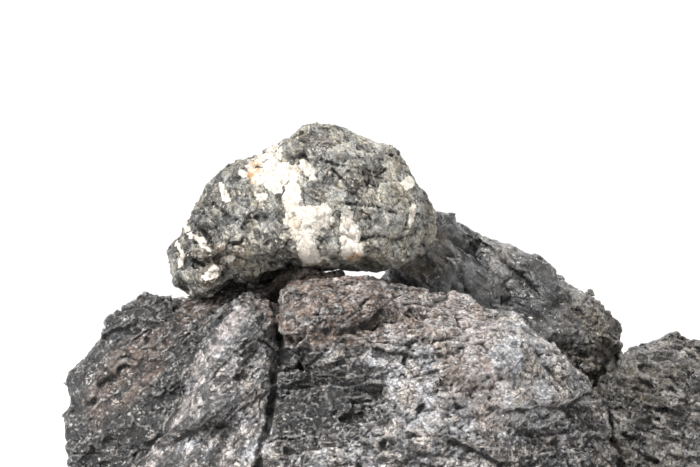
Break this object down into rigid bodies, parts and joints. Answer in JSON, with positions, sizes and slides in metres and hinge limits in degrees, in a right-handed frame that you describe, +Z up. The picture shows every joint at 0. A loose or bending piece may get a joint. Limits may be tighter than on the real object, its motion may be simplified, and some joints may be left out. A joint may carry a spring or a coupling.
{
  "type": "rough rock pile",
  "caption": "Pile of rough dark grey quartz-veined stones: a broad front stone, one resting on top, one standing behind and one at the side.",
  "frame": {"origin": "on the floor, below the middle of the pile's bounding box", "axes": "+Z up, -Y towards the front of the pile, where the broad stone and its deep cleft are; +X to the right as seen from the front"},
  "size_m": [0.4554, 0.2582, 0.2868],
  "materials": {
    "top_rock": "rough grey rock with cream quartz patches and thin veins",
    "front_rock": "rough foliated grey rock with a glassy sheen on its grains, pinkish grey on the ridge",
    "back_rock": "dark broken rock with smooth splintery faces, olive brown and crumbly at the right",
    "side_rock": "dark ledged rock with brown stained hollows"
  },
  "bodies": {
    "root": {"top_stone": "top_rock", "front_stone": "front_rock", "back_stone": "back_rock", "side_stone": "side_rock"}
  },
  "joints": []
}
